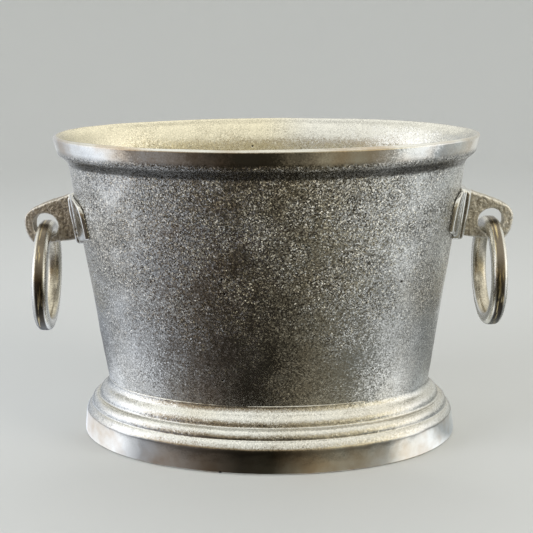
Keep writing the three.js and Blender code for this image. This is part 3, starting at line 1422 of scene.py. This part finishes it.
@dataclass
class RingBracket:
    """Bracket casting: saddle pad, moulded boss and flat lug with the ring hole. Millimetres."""

    side: HandleSide
    bucket: BucketCasting
    clearance: float = 0.3
    hole_r: float = 10.8
    lug_half: float = 6.0
    boss_half: float = 14.0
    pad_thickness: float = 3.4
    lean: float = 0.15
    lug_bevel: float = 1.3
    boss_bevel: float = 2.2
    pad_bevel: float = 1.5
    groove_reach: tuple[float, float] = (-31.6, -30.0)
    groove_floor: float = 13.2
    voxel: float = 0.55
    lumps: tuple[Wave, ...] = ((5.0, 0.3), (1.9, 0.18))
    waves: tuple[Wave, ...] = ((14.0, 0.16),)
    lug: list[Point2] = field(
        default_factory=lambda: [
            (-34, -11.4), (-22, -12.8), (-12, -14.1), (0, -15.6), (9, -16), (13, -14),
            (15.6, -10), (17.3, -6), (18.4, -0.5), (18.3, 5), (16.8, 9.3), (13.8, 12.6),
            (10, 15), (1, 19), (-5, 21.2), (-11.4, 23.1), (-24, 27.9), (-34, 31.5),
        ]
    )
    boss: list[Point2] = field(
        default_factory=lambda: [
            (-42, -14.4), (-28.8, -14.4), (-27.4, -12.8), (-26.4, -9), (-24.2, 5), (-22.8, 15),
            (-22.3, 24.5), (-23.2, 26.2), (-27, 28.2), (-42, 32),
        ]
    )
    pad: list[Point2] = field(
        default_factory=lambda: [
            (1, -10.6), (1, 12), (0.98, 19), (0.9, 23.6), (0.7, 26.6), (0.4, 27.4),
        ]
    )

    def placed(self, outline: Sequence[Point2], out: float = 0.0) -> list[Point2]:
        """Outline about the ring hole, moved to this side of the bucket and outwards."""
        x0, z0 = self.side.hole.x / MM, self.side.hole.z / MM
        return [(x0 + self.side.sign * (x + out), z0 + z) for x, z in outline]

    def grown_wall(self, name: str, by: float) -> bpy.types.Object:
        """Oval block as big as the wall grown by some millimetres."""
        low, high = 120.0, 239.9  # past the pad's ends, and just under the rim's cove
        profile = [(self.bucket.wall_a(low) + by, low), (self.bucket.wall_a(high) + by, high)]
        return oval_solid(name, profile, 256, closed=False)

    def groove(self) -> list[Point2]:
        """Outline of the groove that parts the boss's rib from the pad."""
        back, front = self.groove_reach
        low, high, leans = -20.0, 32.0, 5.6
        outline = [(back, low), (front, low), (front + leans, high), (back + leans, high)]
        return self.placed(outline, self.side.boss_out)

    def pad_block(self) -> bpy.types.Object:
        """Block with the pad's rounded outline, reaching through the wall.

        Returns:
            The block, standing across the end of the bucket.
        """
        z0 = self.side.hole.z / MM
        right = [(share * self.side.pad_half, z0 + z) for share, z in self.pad]
        left = [(-y, z) for y, z in reversed(right)]
        block = prism("pad", rounded(right + left, True, 1, 30.0), 45, self.pad_bevel)
        block.data.transform(
            Matrix.Translation(Vector((self.side.sign * 150 * MM, 0, 0)))
            @ Matrix.Rotation(math.pi / 2, 4, "Z")
        )
        return block

    def build(self) -> bpy.types.Object:
        """Build the bracket.

        Returns:
            The bracket's mesh object.
        """
        name = f"{self.side.label}_bracket_casting"
        bracket = prism(name, self.placed(self.lug), self.lug_half, self.lug_bevel)
        boss_outline = self.placed(self.boss, self.side.boss_out)
        boss = prism("boss", boss_outline, self.boss_half, self.boss_bevel)
        pad = self.pad_block()
        work_in(pad, self.grown_wall("pad_limit", self.pad_thickness), Join.KEEP_INSIDE)
        reach = Vector((0, 30 * MM, 0))
        hole = self.side.hole
        drill = bar_between("hole", hole - reach, hole + reach, self.hole_r * MM)
        work_in(bracket, drill, Join.CUT)
        for solid in (bracket, boss, pad):
            work_in(solid, self.grown_wall("wall_cut", self.clearance), Join.CUT)
        for face in (-1, 1):
            cut_half = 3.0
            middle = face * (self.groove_floor + cut_half) * MM
            groove = prism("groove", self.groove(), cut_half, 0)
            groove.data.transform(Matrix.Translation(Vector((0, middle, 0))))
            work_in(boss, groove, Join.CUT)
        put_together(bracket, [boss, pad])
        remesh = bracket.modifiers.new("sand_mould", "REMESH")
        remesh.mode = "VOXEL"
        remesh.voxel_size = self.voxel * MM
        soften = bracket.modifiers.new("worn_edges", "SMOOTH")
        soften.factor = 0.5
        soften.iterations = 5
        bake(bracket)
        self.roughen(bracket)
        shade_smooth(bracket)
        return bracket

    def roughen(self, bracket: bpy.types.Object) -> None:
        """Leave the lug lumpy, as cast, and the filed boss and pad nearly true."""
        mesh = bracket.data
        moved = []
        fade = 3.0
        seed = Vector((self.side.seed, 0, 0))
        for vertex in mesh.vertices:
            out = self.side.sign * vertex.co.x / MM - self.lean * (vertex.co.z / MM)
            lug_share = min(1.0, max(0.0, (out - self.side.step_mm) / fade))
            shift = 0.0
            for share, group in ((lug_share, self.lumps), (1.0, self.waves)):
                for length, height in group:
                    shift += share * height * noise.noise(vertex.co / (length * MM) + seed)
            moved += list(vertex.co + vertex.normal * shift * MM)
        mesh.vertices.foreach_set("co", moved)
        mesh.update()


@dataclass
class RingHandle:
    """Loose ring of rounded-octagon bar, hung in a bracket's hole. Millimetres."""

    side: HandleSide
    radial: float = 11.0
    axial: float = 12.8
    segments: int = 240
    swell_share: float = 0.02
    twist_rad: float = 0.12
    hole_swell: float = 0.985

    def mean(self) -> float:
        """Radius of the line through the bar's middle."""
        return self.side.ring_r - self.radial / 2

    def hang(self) -> Matrix:
        """Place and lean of the ring at rest."""
        side = self.side
        return (
            Matrix.Translation(side.hole + Vector((side.sign * side.ring_out * MM, 0, 0)))
            @ Matrix.Rotation(-side.sign * side.ring_tilt, 4, "Y")
            @ Matrix.Translation(Vector((0, 0, -(side.ring_drop + self.mean()) * MM)))
            @ Matrix.Rotation(side.ring_yaw, 4, "Z")
        )

    def section(self) -> list[Point2]:
        """Section of the bar: across the ring, and outwards from its middle."""
        r, w = self.radial / 2, self.axial / 2
        half = [(0.52 * w, -r), (0.88 * w, -0.72 * r), (w, -0.42 * r), (w, 0.3 * r),
                (0.86 * w, 0.72 * r), (0.5 * w, r)]
        other = [(-across, out) for across, out in reversed(half)]
        return rounded(half + other, closed=True, rounds=1, longest=1.5)

    def build(self) -> bpy.types.Object:
        """Build the ring.

        Returns:
            The ring's mesh object, hanging at rest.
        """
        side = self.side
        mean = self.mean()
        section = self.section()
        verts = []
        for i in range(self.segments):
            t = 2 * math.pi * i / self.segments
            # The bar is a little thinner in places and its flats wander, as hand filing leaves it.
            thick_at = Vector((side.seed + 2 * math.cos(t), 2 * math.sin(t), 0))
            turned_at = Vector((1.5 * math.cos(t), side.seed + 1.5 * math.sin(t), 4))
            swell = 1.0 + self.swell_share * noise.noise(thick_at)
            twist = self.twist_rad * noise.noise(turned_at)
            near_hole = max(0.0, math.cos(t)) ** 8
            swell = swell * (1 - near_hole) + self.hole_swell * near_hole
            twist *= 1 - near_hole
            for across, out in section:
                u = (across * math.cos(twist) - out * math.sin(twist)) * swell
                v = (across * math.sin(twist) + out * math.cos(twist)) * swell
                verts.append(
                    Vector((u, (mean + v) * math.sin(t), (mean + v) * math.cos(t))) * MM
                )
        faces = wrapped_faces(self.segments, len(section), closed=True)
        ring = link_mesh(f"{side.label}_ring_handle", verts, faces)
        ring.data.transform(self.hang())
        face_outwards(ring)
        set_by_noise(ring, [(11.0, 0.14), (4.0, 0.08)], seed=side.seed)
        return ring


@dataclass
class SlottedScrew:
    """Pan-head screw with a straight slot. Millimetres; the head's top faces -direction."""

    name: str
    head_top: Vector
    direction: Vector
    length: float
    shank_r: float = 2.5
    head_r: float = 4.6
    head_h: float = 3.0
    slot_width: float = 1.1
    slot_depth: float = 1.2

    def build(self) -> bpy.types.Object:
        """Build the screw.

        Returns:
            The screw's mesh object.
        """
        top = [
            (0.0, 0.0), (0.62 * self.head_r, 0.05), (0.86 * self.head_r, 0.42 * self.head_h),
            (self.head_r, 0.8 * self.head_h), (self.head_r, self.head_h),
            (self.shank_r, self.head_h), (self.shank_r, self.length - 0.8),
            (self.shank_r - 0.8, self.length), (0.0, self.length),
        ]
        steps = 40
        verts: list[Vector] = []
        for radius, height in top[1:-1]:
            for i in range(steps):
                t = 2 * math.pi * i / steps
                verts.append(Vector((radius * math.cos(t), radius * math.sin(t), height)) * MM)
        first, last = len(verts), len(verts) + 1
        verts += [Vector((0, 0, 0)), Vector((0, 0, self.length * MM))]
        rows = len(top) - 2
        faces = wrapped_faces(rows, steps, closed=False)
        for i in range(steps):
            j = (i + 1) % steps
            faces.append((first, j, i))
            faces.append((last, (rows - 1) * steps + i, (rows - 1) * steps + j))
        screw = link_mesh(self.name, verts, faces, smooth=False)
        face_outwards(screw)
        past = 6.0
        outline = [(-past, -1), (past, -1), (past, self.slot_depth), (-past, self.slot_depth)]
        slot = prism("slot", outline, self.slot_width / 2, 0)
        work_in(screw, slot, Join.CUT)
        turn = self.direction.to_track_quat("Z", "Y").to_matrix().to_4x4()
        screw.data.transform(Matrix.Translation(self.head_top) @ turn)
        shade_smooth(screw, 35)
        return screw


@dataclass
class Washer:
    """Flat sealing washer, soft enough to take the wall's curve. Millimetres."""

    name: str
    centre: Vector
    direction: Vector
    bucket: BucketCasting
    outer_r: float = 6.4
    inner_r: float = 2.8
    thickness: float = 1.2
    air: float = 0.35

    def build(self) -> bpy.types.Object:
        """Build the washer.

        Returns:
            The washer's mesh object, moulded to the inside of the wall.
        """
        section = [
            (self.inner_r, 0.15), (self.inner_r + 0.15, 0.0), (self.outer_r - 0.3, 0.0),
            (self.outer_r, 0.3), (self.outer_r, self.thickness), (self.inner_r, self.thickness),
        ]
        steps = 48
        verts: list[Vector] = []
        across = Vector((0, 1, 0))
        up = self.direction.cross(across).normalized()
        for i in range(steps):
            t = 2 * math.pi * i / steps
            for radius, depth in section:
                spot = self.centre + (across * math.cos(t) + up * math.sin(t)) * radius * MM
                verts.append(self.on_wall(spot, depth))
        washer = link_mesh(self.name, verts, wrapped_faces(steps, len(section), closed=True))
        face_outwards(washer)
        shade_smooth(washer, 40)
        return washer

    def on_wall(self, spot: Vector, depth: float) -> Vector:
        """Point at a depth into the washer, measured from its face, over the curved wall."""
        z = spot.z / MM
        a = self.bucket.wall_a(z) - self.bucket.thickness - self.air
        b = a - CORE
        y = spot.y / MM
        x = a * math.sqrt(max(0.0, 1 - (y / b) ** 2))
        side = 1 if self.direction.x > 0 else -1
        return Vector((side * (x - (self.thickness - depth)), y, z)) * MM


# ---- the whole -----------------------------------------------------------------------------------


@dataclass
class ChampagneBucket:
    """The whole object, piece by piece. Millimetres, and degrees round the oval."""

    bucket: BucketCasting = field(default_factory=BucketCasting)
    screw_offsets: dict[str, float] = field(default_factory=lambda: {"upper": 9.0, "lower": -9.0})
    foot_screw_degrees: tuple[int, ...] = (40, 140, 220, 320)
    seat_air: float = 0.3
    washer_thickness: float = 1.2
    head_h: float = 3.0
    bracket_screw_grip: float = 8.5
    foot_screw_grip: float = 10.8
    flange: Point2 = (117.5, 138.0)
    flange_under_z: float = 20.2

    def sides(self) -> list[HandleSide]:
        """Both ends, with each hole at its hinge."""
        holes = {j["name"]: Vector(j["pos_m"]) for j in frame["joints"]}
        return [
            HandleSide("left", -1, holes["left_ring_swing"], boss_out=0.0, pad_half=37.0,
                       ring_r=48.4, ring_drop=2.7, ring_out=0.8, ring_yaw=0.12, ring_tilt=0.06,
                       seed=5.0),
            HandleSide("right", 1, holes["right_ring_swing"], boss_out=3.5, pad_half=28.0,
                       ring_r=46.6, ring_drop=3.1, ring_out=0.8, ring_yaw=0.02, ring_tilt=0.02,
                       seed=11.0),
        ]

    def build(self) -> None:
        """Build and dress every piece."""
        body_finish = CastAluminium(
            "sand_cast_aluminium_body",
            buffed_from_mm=251.0,
            # Painted shade: the cove under the rim and the lower rim band.
            painted_shade=(PaintedShadeBand(241.5, 248.5, 0.75, "4b4740"), PaintedShadeBand(248.5, 255.0, 0.25, "5c4e3e")),
        ).build()
        foot_finish = CastAluminium(
            "polished_cast_aluminium_foot",
            buffed_below_mm=22.0,
            smooth_below_mm=-200.0,
            grain_share=0.3,
            inside_share=0.5,
            # A grey painted reflection tint on the foot's inside.
            inside_reflection_tint="cfcdc8",
        ).build()
        dress(self.bucket.build(), body_finish, "bucket", ["bucket_body"])
        dress(FootCasting(self.bucket).build(), foot_finish, "bucket", ["foot"])
        steel = PlatedSteel("zinc_plated_steel").build()
        rubber = SealRubber("nitrile_seal_rubber").build()
        # Lug colours of each side: raised grain, and painted shade in the hollows.
        tones = {"left": ("bbb1a0", "72685a"), "right": ("d8d3c6", "8d8473")}
        for side in self.sides():
            self.build_side(side, steel, rubber, *tones[side.label])
        self.build_foot_screws(steel)

    def build_side(
        self,
        side: HandleSide,
        steel: bpy.types.Material,
        rubber: bpy.types.Material,
        lug_light: str,
        lug_shade: str,
    ) -> None:
        """Build one end: bracket, ring, screws and washers.

        Args:
            side: Which end, and how it is fitted.
            steel: Finish of the screws.
            rubber: Finish of the washers.
            lug_light: Colour of the lug's raised grain.
            lug_shade: Colour of the painted shade in the lug's hollows.
        """
        bracket_finish = RoughCastBracket(
            f"rough_cast_bracket_{side.label}", side, lug_light, lug_shade
        ).build()
        bracket = RingBracket(side, self.bucket).build()
        dress(bracket, bracket_finish, "bucket", [f"{side.label}_ring_bracket"])
        handle = RingHandle(side)
        ring_finish = TarnishedRing(
            f"tarnished_cast_ring_{side.label}",
            handle.hang().translation,
            handle.hang().col[0].to_3d(),
            handle.mean(),
            handle.radial,
        ).build()
        body, node = f"{side.label}_handle", f"{side.label}_ring"
        dress(handle.build(), ring_finish, body, [node])
        normal = Vector((side.sign, 0, -self.bucket.draft)).normalized()
        for place, dz in self.screw_offsets.items():
            z = side.hole.z / MM + dz
            wall = Vector((side.sign * self.bucket.wall_a(z) * MM, 0, z * MM))
            node = f"{side.label}_bracket_{place}"
            inside = self.bucket.thickness + self.washer_thickness + 2 * self.seat_air
            head_top = wall - normal * (inside + self.head_h) * MM
            length = inside + self.head_h + self.bracket_screw_grip
            screw = SlottedScrew(f"{node}_slotted_screw", head_top, normal, length).build()
            dress(screw, steel, "bucket", [f"{node}_screw"])
            washer = Washer(f"{node}_seal", wall, normal, self.bucket).build()
            dress(washer, rubber, "bucket", [f"{node}_washer"])

    def build_foot_screws(self, steel: bpy.types.Material) -> None:
        """Build the screws that hold the foot to the floor.

        Args:
            steel: Finish of the screws.
        """
        a = sum(self.flange) / 2
        head_z = self.flange_under_z - self.head_h
        for i, degrees in enumerate(self.foot_screw_degrees, start=1):
            t = math.radians(degrees)
            head = Vector((a * math.cos(t), (a - CORE) * math.sin(t), head_z)) * MM
            length = self.head_h + self.foot_screw_grip
            screw = SlottedScrew(
                f"foot_slotted_screw_{i}", head, Vector((0, 0, 1)), length
            ).build()
            dress(screw, steel, "bucket", [f"foot_screw_{i}"])


# ---- studio --------------------------------------------------------------------------------------


@dataclass(frozen=True)
class TentCloth:
    """Light tent of cloth panels round the object, lit from outside.

    Only reflections see it: dark cloth in front gives the metal its dark middle, pale cloth at the
    sides its bright bands, and the roof lights the upward faces.
    """

    name: str
    panels: tuple[tuple[float, str], ...]
    upper: tuple[tuple[float, str], ...]
    glow: float
    roof_colour: str = "c9c8c0"
    roof_gain: float = 1.5

    def ramp(
        self,
        tree: bpy.types.NodeTree,
        turn: bpy.types.NodeSocket,
        panels: tuple[tuple[float, str], ...],
    ) -> bpy.types.NodeSocket:
        """Blend the panels' colours round the object.

        Args:
            tree: Tree that takes the node.
            turn: Angle from the front as a share, 0 to 1, of the full turn.
            panels: Angle in degrees and sRGB colour of each panel.

        Returns:
            The colour.
        """
        blend = add(tree, "ShaderNodeValToRGB", {0: turn})
        stops = blend.color_ramp.elements
        stops[0].position, stops[0].color = 0.0, linear(panels[0][1])
        stops[1].position, stops[1].color = 1.0, linear(panels[-1][1])
        for degrees, colour in panels[1:-1]:
            stops.new((degrees + 180) / 360).color = linear(colour)
        return blend.outputs[0]

    def build(self) -> bpy.types.Material:
        """Build the material.

        Returns:
            The finished material.
        """
        material, tree = blank_material(self.name)
        spot = add(tree, "ShaderNodeTexCoord").outputs["Object"]
        axes = add(tree, "ShaderNodeSeparateXYZ", {0: spot})
        front = add(
            tree, "ShaderNodeMath", {0: axes.outputs["Y"], 1: -1.0}, operation="MULTIPLY"
        ).outputs[0]
        angle = add(
            tree, "ShaderNodeMath", {0: axes.outputs["X"], 1: front}, operation="ARCTAN2"
        ).outputs[0]
        turn = add(
            tree,
            "ShaderNodeMapRange",
            {"Value": angle, "From Min": -math.pi, "From Max": math.pi},
        ).outputs["Result"]
        raised = add(
            tree,
            "ShaderNodeMapRange",
            {"Value": axes.outputs["Z"], "From Min": 0.03, "From Max": 0.3},
            interpolation_type="SMOOTHSTEP",
        ).outputs["Result"]
        cloth = add(
            tree,
            "ShaderNodeMix",
            {
                0: raised,
                6: self.ramp(tree, turn, self.panels),
                7: self.ramp(tree, turn, self.upper),
            },
            data_type="RGBA",
        ).outputs[2]
        # Light falls off across the floor towards the object, and comes back close to the foot.
        beside = add(
            tree, "ShaderNodeVectorMath", {0: spot, 1: (6.0, 10.5, 0.0)}, operation="MULTIPLY"
        ).outputs[0]
        reach = add(tree, "ShaderNodeVectorMath", {0: beside}, operation="LENGTH").outputs["Value"]
        close = add(
            tree,
            "ShaderNodeMapRange",
            {"Value": reach, "From Min": 1.25, "From Max": 1.8, "To Min": 2.5, "To Max": 1.0},
            interpolation_type="SMOOTHSTEP",
        ).outputs["Result"]
        further = add(
            tree,
            "ShaderNodeMapRange",
            {
                "Value": reach,
                "From Min": 1.8,
                "From Max": 4.6,
                "To Min": 0.42 * self.glow,
                "To Max": self.glow,
            },
        ).outputs["Result"]
        roof = add(
            tree,
            "ShaderNodeMapRange",
            {
                "Value": axes.outputs["Z"],
                "From Min": 0.6,
                "From Max": 1.5,
                "To Min": 1.0,
                "To Max": self.roof_gain,
            },
            interpolation_type="SMOOTHSTEP",
        ).outputs["Result"]
        floor_part = add(
            tree, "ShaderNodeMath", {0: close, 1: further}, operation="MULTIPLY"
        ).outputs[0]
        strength = add(
            tree, "ShaderNodeMath", {0: floor_part, 1: roof}, operation="MULTIPLY"
        ).outputs[0]
        under_roof = add(
            tree,
            "ShaderNodeMapRange",
            {"Value": axes.outputs["Z"], "From Min": 0.35, "From Max": 0.9},
            interpolation_type="SMOOTHSTEP",
        ).outputs["Result"]
        lit = add(
            tree,
            "ShaderNodeMix",
            {0: under_roof, 6: cloth, 7: linear(self.roof_colour)},
            data_type="RGBA",
        ).outputs[2]
        light = add(tree, "ShaderNodeEmission", {"Color": lit, "Strength": strength})
        add(tree, "ShaderNodeOutputMaterial", {"Surface": light.outputs[0]})
        return material


@dataclass
class Studio:
    """Pale floor and backdrop, soft lights, a reflection tent, and the camera. Metres."""

    floor_colour: str = "d8d9d6"
    floor_r: float = 1.5
    cove_r: float = 0.9
    wall_top: float = 1.7

    def build(self) -> None:
        """Set up everything round the object."""
        self.sweep()
        self.lights()
        self.tent()
        self.camera()
        self.world()
        view = bpy.context.scene.view_settings
        view.view_transform = "Standard"
        view.look = "None"
        view.exposure = 0.0

    def sweep(self) -> None:
        """Round floor that curves up into a low wall on all sides, in plain pale paint."""
        edge = self.floor_r + self.cove_r
        line: list[Point2] = [(0.3, 0.0), (0.9, 0.0), (self.floor_r, 0.0)]
        for k in range(1, 13):
            t = math.radians(90 * k / 12)
            out, up = self.cove_r * math.sin(t), self.cove_r * (1 - math.cos(t))
            line.append((self.floor_r + out, up))
        line.append((edge, self.wall_top))
        steps = 96
        turns = [-2 * math.pi * i / steps for i in range(steps)]
        verts = [(r * math.cos(t), r * math.sin(t), z) for r, z in line for t in turns]
        hub = len(verts)
        verts.append((0.0, 0.0, 0.0))
        faces = wrapped_faces(len(line), steps, closed=False)
        faces += [(hub, (i + 1) % steps, i) for i in range(steps)]
        sweep = link_mesh("studio_sweep", verts, faces)
        sweep.data.materials.append(PlainPaint("pale_studio_paint", self.floor_colour).build())

    def softbox(
        self, name: str, place: Point2, height: float, size: Point2, power: float, colour: str,
        aim: float = 0.14,
    ) -> None:
        """Add a rectangular softbox turned to the object.

        Args:
            name: Name of the light.
            place: Where it stands, (x, y).
            height: Height of its centre.
            size: Width and height of its face.
            power: Power in watts.
            colour: sRGB hex colour.
            aim: Height of the point it faces.
        """
        light = bpy.data.lights.new(name, "AREA")
        light.shape = "RECTANGLE"
        light.size, light.size_y = size
        light.energy = power
        light.color = linear(colour)[:3]
        obj = bpy.data.objects.new(name, light)
        spot = Vector((place[0], place[1], height))
        obj.location = spot
        obj.rotation_euler = (Vector((0, 0, aim)) - spot).to_track_quat("-Z", "Y").to_euler()
        bpy.context.scene.collection.objects.link(obj)

    def lights(self) -> None:
        """Softboxes left and right, and one large one overhead."""
        self.softbox("left_softbox", (-1.35, -0.6), 0.75, (0.6, 1.0), 10, "f2f6ff")
        self.softbox("right_softbox", (1.35, -0.55), 0.75, (0.5, 1.0), 8, "fffaf0")
        self.softbox("overhead_softbox", (0.0, 0.6), 2.2, (2.4, 1.6), 12, "ffffff")

    def tent(self) -> None:
        """Cloth on the floor, round the sides and overhead."""
        profile: list[Point2] = [
            (0.02, 0.0012), (0.2, 0.0014), (0.4, 0.0016), (0.75, 0.002), (0.95, 0.03),
            (1.08, 0.12), (1.14, 0.26), (1.16, 0.5), (1.16, 0.85), (1.1, 1.15),
            (0.9, 1.45), (0.45, 1.62), (0.02, 1.66),
        ]
        steps = 72
        verts = [
            (r * math.sin(2 * math.pi * i / steps), -r * math.cos(2 * math.pi * i / steps), z)
            for r, z in profile
            for i in range(steps)
        ]
        faces = wrapped_faces(len(profile), steps, closed=False)
        tent = link_mesh("reflection_tent", verts, faces)
        cloth = TentCloth(
            "lit_tent_cloth",
            panels=(
                (-180, "77787a"), (-152, "cdd0d2"), (-130, "adb1b5"), (-110, "bcc2cb"),
                (-88, "e6edf8"), (-66, "f4f8ff"), (-55, "8f9196"), (-44, "7a7470"),
                (-28, "4a423a"), (-12, "24211b"), (4, "26231b"), (14, "575144"),
                (26, "857e6c"), (42, "858479"), (53, "9a9d9b"), (60, "f4f6f4"),
                (74, "eef1f2"), (83, "9a9fa1"), (108, "b4b6b1"), (135, "d0d2cf"),
                (160, "93938d"), (180, "77787a"),
            ),
            upper=(
                (-180, "b0b0ac"), (-110, "c6cbd3"), (-75, "ffffff"), (-52, "d9cfbd"),
                (-40, "9c876a"), (-22, "7d6f58"), (10, "857b66"), (34, "cfc5a6"),
                (52, "f3ecd2"), (75, "ffffff"), (110, "c6c6bf"), (180, "b0b0ac"),
            ),
            glow=1.4,
        ).build()
        tent.data.materials.append(cloth)
        tent.visible_camera = False
        tent.visible_shadow = False
        tent.visible_diffuse = False

    def camera(self) -> None:
        """Camera a little above the rim, looking slightly down and from the right of centre."""
        data = bpy.data.cameras.new("camera")
        data.sensor_width = 36.0
        data.lens = 59.83
        data.clip_start = 0.01
        camera = bpy.data.objects.new("camera", data)
        around, down, roll = 0.04503, 0.27652, -0.01096
        distance, height = 0.73833, 0.35867
        place = Vector((distance * math.sin(around), -distance * math.cos(around), height))
        camera.matrix_world = (
            Matrix.Translation(place)
            @ Matrix.Rotation(around, 4, "Z")
            @ Matrix.Rotation(math.pi / 2 - down, 4, "X")
            @ Matrix.Rotation(roll, 4, "Z")
        )
        bpy.context.scene.collection.objects.link(camera)
        bpy.context.scene.camera = camera

    def world(self) -> None:
        """Even grey room light."""
        world = bpy.data.worlds.new("room")
        bpy.context.scene.world = world
        world.use_nodes = True
        world.node_tree.nodes.clear()
        glow = add(
            world.node_tree, "ShaderNodeBackground", {"Color": linear("e6e8e9"), "Strength": 0.66}
        )
        add(world.node_tree, "ShaderNodeOutputWorld", {"Surface": glow.outputs[0]})


def main() -> None:
    """Build the object and its studio."""
    logging.basicConfig(level=logging.INFO, format="%(message)s")
    ChampagneBucket().build()
    Studio().build()


if __name__ == "__main__":
    main()
